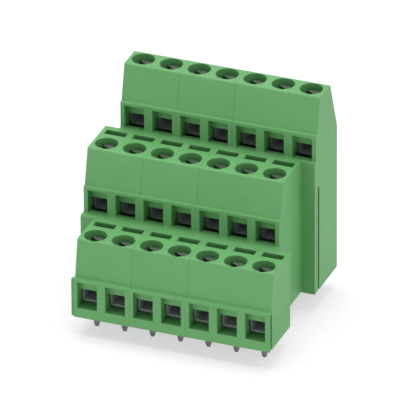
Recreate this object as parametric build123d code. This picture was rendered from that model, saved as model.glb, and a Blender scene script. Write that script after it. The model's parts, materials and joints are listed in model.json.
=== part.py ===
from build123d import *
import os

os.makedirs("parts", exist_ok=True)

# Three-tier screw terminal block for a printed circuit board.
# Working axes while drawing: X along the poles, Y from the wire side to the
# back, Z up from the board face. Everything is moved at the end so that the
# middle of the overall outline is at X = Y = 0 and the pin tips are at Z = 0.

# Poles
pitch = 5.08
module_poles = (2, 2, 3)
module_names = ("left", "middle", "right")
pole_count = sum(module_poles)
tier_shift = pitch / 2
module_gap = 0.02

# Housing outline, each tier from the lowest up
tier_rise = (14.15, 11.30, 11.30)
slope_height = (6.8, 6.45, 6.4)
slope_run = (1.2, 1.45, 1.45)
band_front = (0.0, 11.25, 22.1)
band_step = (0.70, 0.55, 0.55)
wall_front = (0.0, 9.7, 21.55)
back_face = 32.25
back_knee = 27.3
top_back = 28.95
side_left = 2.52
side_right = pitch - module_gap - side_left
edge_radius = 0.25
crest_radius = 0.35
band_radius = 0.15

# Screw axes, measured from the front of the lowest tier
axis_y = (3.95, 15.75, 26.6)

# Joint between the modules: a dovetail tongue on the left, groove on the right
groove_depth = 0.60
groove_mouth = 0.70
groove_floor = 0.90
joint_clearance = 0.05
tongue_reach = module_gap + groove_depth - joint_clearance
joint_y = (0.70, 23.35)
joint_height = (7.1, 19.95)

# Wire entry
pocket_width = 3.6
pocket_shift = (-0.12, 0.0, 0.0)
pocket_depth = (1.5, 2.0, 2.0)
pocket_top = (7.4, 7.1, 7.1)
entry_top = 9.35
sill_depth = (3.0, 1.0, 1.0)

# Slotted clamping screw, and the hole above it that steps in round its head
head_diameter = 3.50
head_height = 1.90
head_sink = 1.05
head_chamfer = 0.15
slot_width = 0.80
slot_depth = 0.95
slot_angle = 150
hole_diameter = 4.00
hole_depth = 2.00
thread_diameter = 2.50
screw_tip_chamfer = 0.35
running_clearance = 0.05

# Wire cage, a bent strip with a doubled tapped top
cage_width = 3.40
cage_length = 4.00
cage_side = 0.35
cage_floor = 0.40
cage_roof = 1.20
cage_window = 3.90
cage_bend = 0.45
cage_inner_bend = 0.10
cage_seam = 0.06
cage_guide = 0.07
cage_side_play = 0.25
cage_lift_at_rest = 0.70
cage_travel_up = 2.20
cage_travel_down = 0.45
cage_room = 0.10

# Contact, a bent strip that ends in a solder pin
strip_thickness = 0.90
strip_width = 4.00
bar_width = 2.50
bar_depth = 8.20
bar_nose = 1.80
bend_outside = 1.10
bend_room = 1.30
foot_width = 2.00
foot_above_board = 0.40
foot_pin_back = 0.35
pin_width = 0.90
pin_length = 3.50
pin_taper = 0.80
pin_tip = 0.50

# Channel behind the cage, open to the board
channel_back = 4.65
channel_depth = 1.20
channel_fit = 0.02
neck_width = 3.00
test_slot_width = 3.85
test_slot_depth = 1.55
test_slot_shift = 0.15
test_slot_tiers = (0, 1)

# How far a cut runs on, past a face or into the next cut
cut_past = 1.0
cut_into = 0.1

# Sizes that follow from the ones above
tier_top = [sum(tier_rise[:tier + 1]) for tier in range(3)]
head_bore_radius = head_diameter / 2 + running_clearance
tapped_radius = thread_diameter / 2 + running_clearance
chamber_half_width = cage_width / 2 + cage_side_play
chamber_half_length = cage_length / 2 + cage_guide
cage_height = cage_floor + cage_window + cage_roof
cage_top_at_rest = bar_depth - cage_lift_at_rest - cage_roof
chamber_top = cage_top_at_rest - cage_travel_up - 2 * cage_room
lowest_sill = tier_top[0] - cage_top_at_rest - cage_height - cage_travel_down - cage_room
channel_half_width = strip_width / 2 + channel_fit
first_axis = -pitch * (pole_count - 1) / 2
outline_left = first_axis - tier_shift - side_left
outline_right = -first_axis + side_right
to_frame = Pos(-(outline_left + outline_right) / 2, -back_face / 2, pin_length)


def axis_x(tier, pole):
    """Screw axis of a pole; the middle tier stands half a pitch to the left."""
    x = first_axis + pitch * pole
    return x - tier_shift if tier == 1 else x


def block(x0, x1, y0, y1, z0, z1):
    size = Box(x1 - x0, y1 - y0, z1 - z0, align=(Align.MIN, Align.MIN, Align.MIN))
    return Pos(x0, y0, z0) * size


def upright_hole(x, y, z0, z1, radius):
    return Pos(x, y, z0) * Cylinder(radius, z1 - z0, align=(Align.CENTER, Align.CENTER, Align.MIN))


def slab(x0, x1, corners, rounds=()):
    """A side outline in Y and Z, drawn across X, with some corners rounded."""
    face = make_face(Polyline(*corners, close=True))
    for (y, z), radius in rounds:
        picked = [v for v in face.vertices() if abs(v.X - y) < 1e-4 and abs(v.Y - z) < 1e-4]
        face = fillet(picked, radius)
    return extrude(Plane.YZ.offset(x0) * face, amount=x1 - x0)


def tier_outline(tier):
    """Side outline of one tier down to the board, and its rounded corners."""
    front = band_front[tier]
    wall = wall_front[tier]
    top = tier_top[tier]
    band_top = top - slope_height[tier]
    slope_foot = front + band_step[tier]
    crest = slope_foot + slope_run[tier]
    ledge = tier_top[tier - 1] if tier else 0
    corners = [(wall, 0)]
    if tier:
        corners += [(wall, ledge), (front, ledge)]
    corners += [(front, band_top), (slope_foot, band_top), (crest, top)]
    rounds = [((crest, top), crest_radius), ((front, band_top), band_radius)]
    if tier:
        rounds.append(((wall, ledge), edge_radius))
    if tier == 2:
        corners += [(top_back, top), (back_face, back_knee), (back_face, 0)]
        rounds += [((top_back, top), crest_radius), ((back_face, back_knee), edge_radius)]
    else:
        corners += [(wall_front[tier + 1], top), (wall_front[tier + 1], 0)]
    return corners, rounds


def dovetail(x0, x1, y, near, far, z1):
    """An upright bar whose width goes from near at x0 to far at x1."""
    corners = [(x0, y - near / 2), (x1, y - far / 2), (x1, y + far / 2), (x0, y + near / 2)]
    return extrude(make_face(Polyline(*corners, close=True)), amount=z1)


def pole_cuts(tier, x):
    """All the room that one pole needs inside the housing."""
    y = axis_y[tier]
    top = tier_top[tier]
    front = band_front[tier]
    sill = tier_top[tier - 1] if tier else lowest_sill
    chamber_front = y - chamber_half_length
    chamber_back = y + chamber_half_length
    half = pocket_width / 2
    mouth = x + pocket_shift[tier]
    pocket_back = front + pocket_depth[tier]
    sill_back = front + sill_depth[tier]
    back = y + channel_back
    cuts = [
        upright_hole(x, y, top - hole_depth, top, hole_diameter / 2),
        upright_hole(x, y, top - chamber_top, top, head_bore_radius),
        block(x - chamber_half_width, x + chamber_half_width,
              chamber_front, chamber_back, sill, top - chamber_top),
        block(x - chamber_half_width, x + chamber_half_width,
              sill_back, chamber_back, 0, sill + cut_into),
        block(x - neck_width / 2, x + neck_width / 2,
              y, back - channel_depth + cut_into, 0, top - bar_depth),
        block(x - channel_half_width, x + channel_half_width,
              back - channel_depth, back, 0, top - bar_depth),
        block(mouth - half, mouth + half, front - cut_past, pocket_back, sill, top - pocket_top[tier]),
        block(mouth - half, mouth + half, front, chamber_front + cut_into, sill, top - entry_top),
    ]
    if tier in test_slot_tiers:
        slot_x = x + test_slot_shift
        cuts.append(block(slot_x - test_slot_width / 2, slot_x + test_slot_width / 2,
                          back - test_slot_depth, back, top - bar_depth - cut_past, top))
    return cuts


def housing(first_pole, poles):
    """One moulding with all three tiers for a number of poles."""
    left = first_axis + pitch * first_pole - side_left
    right = first_axis + pitch * (first_pole + poles - 1) + side_right
    solid = None
    for tier in range(3):
        shift = tier_shift if tier == 1 else 0
        corners, rounds = tier_outline(tier)
        piece = slab(left - shift, right - shift, corners, rounds)
        solid = piece if solid is None else solid + piece
    for y, height in zip(joint_y, joint_height):
        solid += dovetail(left, left - tongue_reach, y, groove_mouth - 2 * joint_clearance,
                          groove_floor - 2 * joint_clearance, height - joint_clearance)
        solid -= dovetail(right, right - groove_depth, y, groove_mouth, groove_floor, height)
    for tier in range(3):
        for pole in range(first_pole, first_pole + poles):
            for cut in pole_cuts(tier, axis_x(tier, pole)):
                solid -= cut
    return solid


def screw(tier, pole):
    """Slotted cylinder-head screw whose tip stands on the contact bar."""
    top = tier_top[tier]
    head_top = top - head_sink
    head = Cylinder(head_diameter / 2, head_height, align=(Align.CENTER, Align.CENTER, Align.MAX))
    head = chamfer(head.edges().sort_by(Axis.Z)[-1], head_chamfer)
    head -= Rot(0, 0, slot_angle) * Box(head_diameter * 2, slot_width, slot_depth,
                                        align=(Align.CENTER, Align.CENTER, Align.MAX))
    length = bar_depth - head_sink - head_height
    shaft = Cylinder(thread_diameter / 2, length, align=(Align.CENTER, Align.CENTER, Align.MIN))
    shaft = chamfer(shaft.edges().sort_by(Axis.Z)[0], screw_tip_chamfer)
    shaft = Pos(0, 0, -head_height - length) * shaft
    return Pos(axis_x(tier, pole), axis_y[tier], head_top) * (head + shaft)


def cage(tier, pole):
    """Rectangular ring of bent strip around the contact bar, tapped on top."""
    half = cage_width / 2
    ring = RectangleRounded(cage_width, cage_height, cage_bend)
    window = RectangleRounded(cage_width - 2 * cage_side, cage_window, cage_inner_bend)
    ring -= Pos(0, (cage_floor - cage_roof) / 2) * window
    body = extrude(Plane.XZ * ring, amount=cage_length / 2, both=True)
    seam_middle = (cage_height - cage_roof) / 2
    body -= block(-half, -half + cage_side, -cage_length, cage_length,
                  seam_middle - cage_seam / 2, seam_middle + cage_seam / 2)
    body -= Pos(0, 0, cage_height / 2) * Cylinder(tapped_radius, cage_roof * 2)
    top = tier_top[tier] - cage_top_at_rest
    return Pos(axis_x(tier, pole), axis_y[tier], top - cage_height / 2) * body


def contact(tier, pole):
    """Bar through the cage, strip down to the board and a solder pin."""
    y = axis_y[tier]
    bar_top = tier_top[tier] - bar_depth
    back = y + channel_back
    front = back - strip_thickness
    inside = bend_outside - strip_thickness
    bend_end = bar_top - bend_room
    upper = slab(-bar_width / 2, bar_width / 2,
                 [(y - bar_nose, bar_top), (back, bar_top), (back, bend_end),
                  (front, bend_end), (front, bar_top - strip_thickness),
                  (y - bar_nose, bar_top - strip_thickness)],
                 [((back, bar_top), bend_outside), ((front, bar_top - strip_thickness), inside)])
    half_pin = pin_width / 2
    if tier:
        strip = block(-strip_width / 2, strip_width / 2, front, back, 0, bend_end)
        pin_y = back - strip_thickness / 2
        pin_from = 0
    else:
        strip_end = foot_above_board + bend_room
        strip = block(-strip_width / 2, strip_width / 2, front, back, strip_end, bend_end)
        foot_top = foot_above_board + strip_thickness
        pin_y = y + foot_pin_back
        strip += slab(-foot_width / 2, foot_width / 2,
                      [(back, strip_end), (back, foot_above_board),
                       (pin_y - half_pin, foot_above_board), (pin_y - half_pin, foot_top),
                       (front, foot_top), (front, strip_end)],
                      [((back, foot_above_board), bend_outside), ((front, foot_top), inside)])
        pin_from = foot_above_board
    straight = pin_length - pin_taper
    pin = block(-half_pin, half_pin, pin_y - half_pin, pin_y + half_pin, -straight, pin_from)
    tip = loft([Pos(0, pin_y, -straight) * Rectangle(pin_width, pin_width),
                Pos(0, pin_y, -pin_length) * Rectangle(pin_tip, pin_tip)])
    return Pos(axis_x(tier, pole), 0, 0) * (upper + strip + pin + tip)


def save(shapes, name):
    placed = [to_frame * solid for shape in shapes for solid in shape.solids()]
    shape = placed[0] if len(placed) == 1 else Compound(placed)
    export_step(shape, f"parts/{name}.step")


first = 0
for name, poles in zip(module_names, module_poles):
    save([housing(first, poles)], f"housing_{name}")
    for tier in range(3):
        group = [contact(tier, pole) for pole in range(first, first + poles)]
        save(group, f"contacts_tier{tier + 1}_{name}")
    first += poles

for tier in range(3):
    for pole in range(pole_count):
        save([screw(tier, pole)], f"screw_tier{tier + 1}_pole{pole + 1}")
        save([cage(tier, pole)], f"cage_tier{tier + 1}_pole{pole + 1}")
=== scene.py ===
import json
import math

import bmesh
import bpy
from mathutils import Matrix, Vector


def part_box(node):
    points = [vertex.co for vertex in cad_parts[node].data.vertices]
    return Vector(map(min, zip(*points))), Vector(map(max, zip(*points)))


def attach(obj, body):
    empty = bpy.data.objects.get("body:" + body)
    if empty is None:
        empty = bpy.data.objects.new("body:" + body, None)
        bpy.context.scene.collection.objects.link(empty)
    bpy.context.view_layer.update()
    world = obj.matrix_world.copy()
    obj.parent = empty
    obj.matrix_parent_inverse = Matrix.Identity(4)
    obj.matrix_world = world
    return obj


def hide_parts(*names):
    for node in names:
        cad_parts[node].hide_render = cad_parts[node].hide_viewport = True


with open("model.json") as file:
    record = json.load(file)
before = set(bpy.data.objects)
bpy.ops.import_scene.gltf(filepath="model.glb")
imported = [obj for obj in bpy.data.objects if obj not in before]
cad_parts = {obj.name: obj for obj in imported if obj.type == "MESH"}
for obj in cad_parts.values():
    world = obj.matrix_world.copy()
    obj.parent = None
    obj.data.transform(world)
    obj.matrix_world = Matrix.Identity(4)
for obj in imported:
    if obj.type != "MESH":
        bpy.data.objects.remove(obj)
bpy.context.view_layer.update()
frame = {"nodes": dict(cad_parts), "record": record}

NODES = frame["nodes"]
BODIES = frame["record"]["behaviour"]["bodies"]
BODY_OF = {name: body for body, names in BODIES.items() for name in names}
MM = 0.001

# View of the photograph: a very long lens, from the front right and above
CAMERA_EYE = (0.612606, -1.572319, 0.938898)
CAMERA_AZIMUTH = 21.2555
CAMERA_ELEVATION = 28.5654
CAMERA_ROLL = -0.2764
CAMERA_LENS = 999.1
CAMERA_SENSOR = 36.0
CAMERA_NEAR = 0.1
CAMERA_FAR = 20.0

# Screw head, the same size as the CAD screw's
HEAD_RADIUS = 1.75 * MM
HEAD_HEIGHT = 1.90 * MM
HEAD_CHAMFER = 0.15 * MM
HEAD_SIDES = 48
SLOT_WIDTH = 0.80 * MM
SLOT_DEPTH = 0.95 * MM
SLOT_ANGLE = 150

# Screw shaft with its thread, whose flats and flanks are shares of the pitch
SHAFT_RADIUS = 1.25 * MM
SHAFT_SEAT = 0.20 * MM
TIP_CHAMFER = 0.35 * MM
THREAD_PITCH = 0.45 * MM
THREAD_MINOR = 0.974 * MM
THREAD_CREST_PLAY = 0.010 * MM
THREAD_SIDES = 32
ROOT_FLAT = 1 / 4
FLANK = 5 / 16
CREST_FLAT = 1 / 8

# Turns of thread that are laid out past each end of the shaft and pressed flat there
THREAD_RUN_OUT = 1

# Points closer than this become one
MERGE = 0.0001 * MM

# Share of the clouds in the plastic that follow its flow, and how strongly its edges take the
# painted highlight
PLASTIC_FLOW = 0.4
PLASTIC_HIGHLIGHT_SHARE = 0.6

# Colours of the plastic and the platings
PLASTIC_DEEP = (0.112, 0.340, 0.113)
PLASTIC_LIGHT = (0.126, 0.368, 0.127)
# Paler green on the plastic's edges: a painted highlight
PLASTIC_EDGE_HIGHLIGHT = (0.23, 0.55, 0.23)
# Zinc colours: darkened as painted shade in the holes and tinted green as a painted reflection of
# the green plastic; the edge colour is a painted highlight
ZINC_DULL_SHADED = (0.13, 0.17, 0.13)
ZINC_BRIGHT_SHADED = (0.20, 0.25, 0.20)
ZINC_EDGE_HIGHLIGHT = (0.40, 0.43, 0.39)
# Nickel colours: partly the plating's own tone, partly darkened as painted shade for the deep
# pockets; the edge colour is a painted highlight, and the last one is painted shade on faces square
# to the depth axis
NICKEL_DULL_SHADED = (0.36, 0.40, 0.43)
NICKEL_BRIGHT_SHADED = (0.47, 0.52, 0.55)
NICKEL_EDGE_HIGHLIGHT = (0.74, 0.74, 0.76)
NICKEL_PAINTED_SHADE = (0.17, 0.19, 0.18)
# Tin colours: darkened as painted shade under the body; the edge colour is a painted highlight
TIN_DULL_SHADED = (0.14, 0.15, 0.14)
TIN_BRIGHT_SHADED = (0.22, 0.23, 0.22)
TIN_EDGE_HIGHLIGHT = (0.38, 0.38, 0.37)

# The part of a noise's range that is spread over two tones
PATCH_LOW = 0.3
PATCH_HIGH = 0.7

# Edge mask for the painted edge highlight: cosines between the true and the rounded normal, on a
# flat and on a full edge
BEVEL_SAMPLES = 6
FLAT_COSINE = 0.995
EDGE_COSINE = 0.80

# How square to the depth axis a face is where its painted shade begins, and where it is full
FACING_START = 0.80
FACING_FULL = 0.95

# Sky: the strength that lights the object, and the strength that is seen as white
WHITE = (1.0, 1.0, 1.0)
SKY = 0.30
SKY_SEEN = 1.0

# Floor: its colour for the light that it gives back, and the colour and glow that are seen as white
FLOOR_HALF = 0.8
FLOOR_COLOUR = (0.95, 0.95, 0.95)
FLOOR_SEEN = (0.445, 0.420, 0.455)
FLOOR_GLOW = 0.58

# What the lamps point at
LAMP_AIM = (0, 0, 0.02)


def link(obj):
    bpy.context.scene.collection.objects.link(obj)
    return obj


def set_camera():
    data = bpy.data.cameras.new("camera")
    data.type = "PERSP"
    data.sensor_width = CAMERA_SENSOR
    data.lens = CAMERA_LENS
    data.clip_start = CAMERA_NEAR
    data.clip_end = CAMERA_FAR
    cam = link(bpy.data.objects.new("camera", data))
    turn = (Matrix.Rotation(math.radians(CAMERA_AZIMUTH), 4, "Z")
            @ Matrix.Rotation(math.radians(90 - CAMERA_ELEVATION), 4, "X")
            @ Matrix.Rotation(math.radians(CAMERA_ROLL), 4, "Z"))
    cam.matrix_world = Matrix.Translation(Vector(CAMERA_EYE)) @ turn
    bpy.context.scene.camera = cam


class Nodes:
    """Short calls for building the node tree of one material or world."""

    def __init__(self, owner, output="ShaderNodeOutputMaterial"):
        owner.use_nodes = True
        self.owner = owner
        self.tree = owner.node_tree
        self.tree.nodes.clear()
        self.out = self.add(output)

    def add(self, kind):
        return self.tree.nodes.new(kind)

    def put(self, socket, value):
        """A link for a socket, or a constant for a number or colour."""
        if hasattr(value, "is_output"):
            self.tree.links.new(value, socket)
        elif isinstance(value, tuple) and len(value) == 3 and socket.type == "RGBA":
            socket.default_value = (*value, 1.0)
        else:
            socket.default_value = value

    def place(self, stretch=(1.0, 1.0, 1.0)):
        """Object coordinates, stretched along the axes."""
        coord = self.add("ShaderNodeTexCoord")
        mapping = self.add("ShaderNodeMapping")
        mapping.inputs["Scale"].default_value = stretch
        self.put(mapping.inputs["Vector"], coord.outputs["Object"])
        return mapping.outputs["Vector"]

    def noise(self, scale, detail=2.0, rough=0.5, stretch=(1.0, 1.0, 1.0)):
        tex = self.add("ShaderNodeTexNoise")
        tex.inputs["Scale"].default_value = scale
        tex.inputs["Detail"].default_value = detail
        tex.inputs["Roughness"].default_value = rough
        self.put(tex.inputs["Vector"], self.place(stretch))
        return tex.outputs["Fac"]

    def lines(self, scale):
        """Fine parallel lines, one after another along the depth axis."""
        wave = self.add("ShaderNodeTexWave")
        wave.bands_direction = "Y"
        wave.inputs["Scale"].default_value = scale
        self.put(wave.inputs["Vector"], self.place())
        return wave.outputs["Fac"]

    def ramp(self, source, *stops):
        node = self.add("ShaderNodeValToRGB")
        elements = node.color_ramp.elements
        while len(elements) < len(stops):
            elements.new(0.5)
        for element, (position, colour) in zip(elements, stops):
            element.position = position
            element.color = (*colour, 1.0)
        self.put(node.inputs["Fac"], source)
        return node.outputs["Color"]

    def span(self, source, low, high, to_low, to_high):
        """One range of numbers turned into another, held at its ends."""
        node = self.add("ShaderNodeMapRange")
        ends = {"From Min": low, "From Max": high, "To Min": to_low, "To Max": to_high}
        for name, value in ends.items():
            node.inputs[name].default_value = value
        self.put(node.inputs["Value"], source)
        return node.outputs["Result"]

    def tones(self, source, dull, light):
        """Patches of two colours."""
        return self.ramp(source, (PATCH_LOW, dull), (PATCH_HIGH, light))

    def patches(self, scale, low, high):
        """Patches of two numbers, for the roughness."""
        source = self.noise(scale, detail=3.0, rough=0.6)
        return self.span(source, PATCH_LOW, PATCH_HIGH, low, high)

    def mix(self, share, a, b):
        node = self.add("ShaderNodeMix")
        node.data_type = "RGBA"
        for index, value in ((0, share), (6, a), (7, b)):
            self.put(node.inputs[index], value)
        return node.outputs[2]

    def math(self, kind, a, b=0.0):
        node = self.add("ShaderNodeMath")
        node.operation = kind
        self.put(node.inputs[0], a)
        self.put(node.inputs[1], b)
        return node.outputs[0]

    def seen(self):
        """1 for what is seen directly, mirrored or through glass, 0 for the light that it gives."""
        path = self.add("ShaderNodeLightPath")
        direct = self.math("MAXIMUM", path.outputs["Is Camera Ray"], path.outputs["Is Glossy Ray"])
        return self.math("MAXIMUM", direct, path.outputs["Is Transmission Ray"])

    def edges(self, radius):
        """How much of an edge a point is, 0 on flats and 1 on edges, for the painted edge
        highlight, and the rounded normal.
        """
        bevel = self.add("ShaderNodeBevel")
        bevel.samples = BEVEL_SAMPLES
        bevel.inputs["Radius"].default_value = radius
        geometry = self.add("ShaderNodeNewGeometry")
        dot = self.add("ShaderNodeVectorMath")
        dot.operation = "DOT_PRODUCT"
        self.put(dot.inputs[0], bevel.outputs["Normal"])
        self.put(dot.inputs[1], geometry.outputs["True Normal"])
        edge_share = self.span(dot.outputs["Value"], FLAT_COSINE, EDGE_COSINE, 0.0, 1.0)
        return edge_share, bevel.outputs["Normal"]

    def facing_y(self):
        """1 on faces square to the depth axis, 0 on all others."""
        coord = self.add("ShaderNodeTexCoord")
        parts = self.add("ShaderNodeSeparateXYZ")
        self.put(parts.inputs[0], coord.outputs["Normal"])
        share = self.math("ABSOLUTE", parts.outputs["Y"])
        return self.span(share, FACING_START, FACING_FULL, 0.0, 1.0)

    def with_edge_highlight(self, base, colour, share, radius):
        """A base colour whose edges turn paler by a share, a painted edge highlight, and the
        rounded normal.
        """
        edge_share, rounded = self.edges(radius)
        return self.mix(self.math("MULTIPLY", edge_share, share), base, colour), rounded

    def bump(self, normal, height, strength, depth):
        node = self.add("ShaderNodeBump")
        node.inputs["Strength"].default_value = strength
        node.inputs["Distance"].default_value = depth
        self.put(node.inputs["Height"], height)
        self.put(node.inputs["Normal"], normal)
        return node.outputs["Normal"]

    def surface(self, socket):
        self.put(self.out.inputs["Surface"], socket)
        return self.owner

    def principled(self, **values):
        shader = self.add("ShaderNodeBsdfPrincipled")
        for key, value in values.items():
            self.put(shader.inputs[key.replace("_", " ")], value)
        return self.surface(shader.outputs["BSDF"])


def material_nodes(name):
    return Nodes(bpy.data.materials.new(name))


def green_plastic():
    """Moulded polyamide: faintly clouded green, fine die grain, and paler edges that are a painted
    highlight.
    """
    n = material_nodes("green_plastic")
    cloud = n.noise(170.0, detail=3.0, rough=0.55)
    flow = n.noise(60.0, stretch=(1.0, 1.0, 3.5))
    clouds = n.mix(PLASTIC_FLOW, cloud, flow)
    base = n.ramp(clouds, (0.30, PLASTIC_DEEP), (0.72, PLASTIC_LIGHT))
    edge_share, rounded = n.edges(0.20 * MM)
    half_to_full = n.span(n.noise(420.0), 0.35, 0.7, 0.5, 1.0)
    # Painted highlight: the edges turn paler, in patches
    edge_highlight = n.math("MULTIPLY", n.math("MULTIPLY", edge_share, half_to_full), PLASTIC_HIGHLIGHT_SHARE)
    normal = n.bump(rounded, n.noise(700.0), strength=0.10, depth=0.02 * MM)
    normal = n.bump(normal, n.noise(9000.0, rough=0.6), strength=0.18, depth=0.006 * MM)
    return n.principled(Base_Color=n.mix(edge_highlight, base, PLASTIC_EDGE_HIGHLIGHT), Specular_IOR_Level=0.38,
                        Roughness=n.patches(800.0, low=0.46, high=0.58), Normal=normal)


def zinc_steel():
    """Zinc plated screw with dull patches. Its colours are darkened as painted shade in the holes
    and tinted green as a painted reflection of the green walls, and its edges are brighter as a
    painted highlight.
    """
    n = material_nodes("zinc_steel")
    base = n.tones(n.noise(900.0, detail=3.0, rough=0.6), ZINC_DULL_SHADED, ZINC_BRIGHT_SHADED)
    colour, rounded = n.with_edge_highlight(base, ZINC_EDGE_HIGHLIGHT, share=0.5, radius=0.08 * MM)
    normal = n.bump(rounded, n.noise(6000.0), strength=0.2, depth=0.006 * MM)
    return n.principled(Base_Color=colour, Metallic=1.0,
                        Roughness=n.patches(2500.0, low=0.32, high=0.48), Normal=normal)


def nickel_cage():
    """Nickel plated bent strip with faint drawing lines. Its colours are partly nickel's own and
    partly darkened as painted shade inside the wire pockets. Its edges are paler as a painted
    highlight, and its faces square to the depth axis take a darker painted shade.
    """
    n = material_nodes("nickel_cage")
    cloud = n.noise(500.0, detail=3.0, rough=0.6, stretch=(1.0, 6.0, 1.0))
    base = n.tones(cloud, NICKEL_DULL_SHADED, NICKEL_BRIGHT_SHADED)
    along, rounded = n.with_edge_highlight(base, NICKEL_EDGE_HIGHLIGHT, share=0.4, radius=0.06 * MM)
    normal = n.bump(rounded, n.lines(320.0), strength=0.35, depth=0.03 * MM)
    normal = n.bump(normal, n.noise(5000.0), strength=0.2, depth=0.006 * MM)
    # Painted shade on the faces square to the depth axis
    return n.principled(Base_Color=n.mix(n.facing_y(), along, NICKEL_PAINTED_SHADE), Metallic=0.45,
                        Roughness=n.patches(1800.0, low=0.42, high=0.58), Normal=normal)


def tinned_metal():
    """Tin plating on the contact strips and pins. Its colours are darkened as painted shade under
    the body, and its edges are paler as a painted highlight.
    """
    n = material_nodes("tinned_metal")
    base = n.tones(n.noise(650.0, detail=4.0, rough=0.6), TIN_DULL_SHADED, TIN_BRIGHT_SHADED)
    colour, rounded = n.with_edge_highlight(base, TIN_EDGE_HIGHLIGHT, share=0.4, radius=0.1 * MM)
    normal = n.bump(rounded, n.noise(4000.0), strength=0.25, depth=0.008 * MM)
    return n.principled(Base_Color=colour, Metallic=1.0,
                        Roughness=n.patches(1500.0, low=0.34, high=0.52), Normal=normal)


MATERIALS = {
    "housing": green_plastic(),
    "screw": zinc_steel(),
    "cage": nickel_cage(),
    "contacts": tinned_metal(),
}


def dress_nodes():
    """Gives every CAD node the material of its kind."""
    for name, obj in NODES.items():
        kind = name.split("_")[0]
        obj.data.materials.clear()
        obj.data.materials.append(MATERIALS[kind])


def on_circle(radius, share, height):
    """A point on a level circle, at a share of the full turn."""
    angle = 2 * math.pi * share
    return radius * math.cos(angle), radius * math.sin(angle), height


def thread(mesh, top, bottom):
    """Adds a right-hand thread between two heights, open at its ends.

    It is a grid of rows that climb with the turn. What runs past an end lies flat at it.
    """
    crest = SHAFT_RADIUS - THREAD_CREST_PLAY
    crest_start = ROOT_FLAT + FLANK
    profile = [(0.0, THREAD_MINOR), (ROOT_FLAT, THREAD_MINOR),
               (crest_start, crest), (crest_start + CREST_FLAT, crest)]
    per_turn = len(profile)
    turns = math.ceil((top - bottom) / THREAD_PITCH) + 2 * THREAD_RUN_OUT
    rows = turns * per_turn
    start = bottom - THREAD_RUN_OUT * THREAD_PITCH
    grid = []
    for row in range(rows + 1):
        rise, radius = profile[row % per_turn]
        ring = []
        for i in range(THREAD_SIDES):
            height = start + THREAD_PITCH * (row // per_turn + rise + i / THREAD_SIDES)
            held = min(max(height, bottom), top)
            limit = SHAFT_RADIUS - max(0.0, bottom + TIP_CHAMFER - held)
            r = THREAD_MINOR if height >= top else min(radius, limit)
            ring.append(mesh.verts.new(on_circle(r, i / THREAD_SIDES, held)))
        grid.append(ring)
    for row in range(rows):
        low, high = grid[row], grid[row + 1]
        for i in range(THREAD_SIDES - 1):
            mesh.faces.new((low[i], low[i + 1], high[i + 1], high[i]))
        if row + 1 + per_turn <= rows:
            next_low, next_high = grid[row + per_turn], grid[row + per_turn + 1]
            mesh.faces.new((low[-1], next_low[0], next_high[0], high[-1]))


def head(mesh):
    """Adds the cheese head with its chamfer, closed at its top and its underside."""
    outline = [(0.0, 0.0), (HEAD_RADIUS - HEAD_CHAMFER, 0.0), (HEAD_RADIUS, -HEAD_CHAMFER),
               (HEAD_RADIUS, -HEAD_HEIGHT), (0.0, -HEAD_HEIGHT)]
    rings = []
    for radius, height in outline:
        count = HEAD_SIDES if radius else 1
        rings.append([mesh.verts.new(on_circle(radius, i / count, height)) for i in range(count)])
    for upper, lower in zip(rings, rings[1:]):
        for i in range(HEAD_SIDES):
            k = (i + 1) % HEAD_SIDES
            corners = [upper[i % len(upper)], lower[i % len(lower)],
                       lower[k % len(lower)], upper[k % len(upper)]]
            mesh.faces.new(list(dict.fromkeys(corners)))


def slot_cutter(mesh):
    """Adds a box across the head, half of it above the top face."""
    turn = Matrix.Rotation(math.radians(SLOT_ANGLE), 4, "Z")
    box = Matrix.Diagonal((4 * HEAD_RADIUS, SLOT_WIDTH, 2 * SLOT_DEPTH, 1.0))
    bmesh.ops.create_cube(mesh, size=1.0, matrix=turn @ box)


def shaft(mesh, length):
    """Adds the threaded shaft, closed at both ends and let into the head a little."""
    top, bottom = SHAFT_SEAT - HEAD_HEIGHT, -length
    thread(mesh, top, bottom)
    bmesh.ops.remove_doubles(mesh, verts=mesh.verts, dist=MERGE)
    for end in (top, bottom):
        rim = [v for v in mesh.verts if abs(v.co.z - end) < MERGE]
        bmesh.ops.contextual_create(mesh, geom=rim)
    bmesh.ops.recalc_face_normals(mesh, faces=mesh.faces)


def object_of(name, build, *sizes):
    """An object with the mesh that a function builds."""
    mesh = bmesh.new()
    build(mesh, *sizes)
    data = bpy.data.meshes.new(name)
    mesh.to_mesh(data)
    mesh.free()
    return link(bpy.data.objects.new(name, data))


def combine(obj, other, operation):
    """Joins one object to another or cuts it out, and removes the other."""
    modifier = obj.modifiers.new("combine", "BOOLEAN")
    modifier.operation = operation
    modifier.solver = "EXACT"
    modifier.object = other
    graph = bpy.context.evaluated_depsgraph_get()
    result = bpy.data.meshes.new_from_object(obj.evaluated_get(graph))
    obj.modifiers.clear()
    obj.data = result
    bpy.data.objects.remove(other)


def screw_mesh(length):
    """Slotted screw with its thread, head top at the origin."""
    body = object_of("screw_head", head)
    combine(body, object_of("slot_cutter", slot_cutter), "DIFFERENCE")
    combine(body, object_of("screw_shaft", shaft, length), "UNION")
    whole = bmesh.new()
    whole.from_mesh(body.data)
    bmesh.ops.remove_doubles(whole, verts=whole.verts, dist=MERGE)
    bmesh.ops.dissolve_degenerate(whole, edges=whole.edges, dist=MERGE)
    data = bpy.data.meshes.new("threaded_screw")
    whole.to_mesh(data)
    whole.free()
    bpy.data.objects.remove(body)
    data.materials.append(MATERIALS["screw"])
    return data


def fit_screws():
    """One shared mesh in the place of every CAD screw."""
    shared = None
    for name in sorted(n for n in NODES if n.startswith("screw")):
        low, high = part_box(name)
        if shared is None:
            shared = screw_mesh(high[2] - low[2])
        obj = link(bpy.data.objects.new("threaded_" + name, shared))
        obj.location = ((low[0] + high[0]) / 2, (low[1] + high[1]) / 2, high[2])
        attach(obj, BODY_OF[name])
        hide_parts(name)


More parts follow.
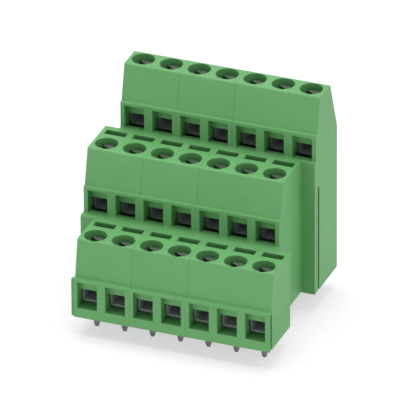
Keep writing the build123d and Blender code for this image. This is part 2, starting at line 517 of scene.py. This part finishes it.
def floor():
    """A white floor that keeps the object's shadow."""
    corners = [(-FLOOR_HALF, -FLOOR_HALF, 0), (FLOOR_HALF, -FLOOR_HALF, 0),
               (FLOOR_HALF, FLOOR_HALF, 0), (-FLOOR_HALF, FLOOR_HALF, 0)]
    mesh = bpy.data.meshes.new("floor")
    mesh.from_pydata(corners, [], [(0, 1, 2, 3)])
    obj = link(bpy.data.objects.new("floor", mesh))
    n = material_nodes("floor")
    seen = n.seen()
    diffuse = n.add("ShaderNodeBsdfDiffuse")
    n.put(diffuse.inputs["Color"], n.mix(seen, FLOOR_COLOUR, FLOOR_SEEN))
    glow = n.add("ShaderNodeEmission")
    n.put(glow.inputs["Strength"], n.math("MULTIPLY", seen, FLOOR_GLOW))
    both = n.add("ShaderNodeAddShader")
    n.put(both.inputs[0], diffuse.outputs[0])
    n.put(both.inputs[1], glow.outputs[0])
    mesh.materials.append(n.surface(both.outputs[0]))


def lamp(name, place, size, power):
    data = bpy.data.lights.new(name, "AREA")
    data.shape = "DISK"
    data.size = size
    data.energy = power
    obj = link(bpy.data.objects.new(name, data))
    obj.location = place
    obj.rotation_euler = (Vector(LAMP_AIM) - Vector(place)).to_track_quat("-Z", "Y").to_euler()


def sky():
    world = bpy.data.worlds.new("studio")
    bpy.context.scene.world = world
    n = Nodes(world, "ShaderNodeOutputWorld")
    back = n.add("ShaderNodeBackground")
    n.put(back.inputs["Color"], WHITE)
    n.put(back.inputs["Strength"], n.span(n.seen(), 0.0, 1.0, SKY, SKY_SEEN))
    n.surface(back.outputs[0])


bpy.context.scene.view_settings.view_transform = "Standard"
set_camera()
dress_nodes()
fit_screws()
floor()
sky()
lamp("overhead", place=(-0.08, 0.11, 0.79), size=0.78, power=5.9)
lamp("right", place=(0.55, 0.00, 0.60), size=0.40, power=1.2)
lamp("right_low", place=(0.80, 0.02, 0.20), size=0.40, power=0.45)
lamp("front_right", place=(0.50, -0.60, 0.20), size=0.50, power=0.4)
lamp("front_left", place=(-0.30, -0.75, 0.07), size=0.50, power=1.8)
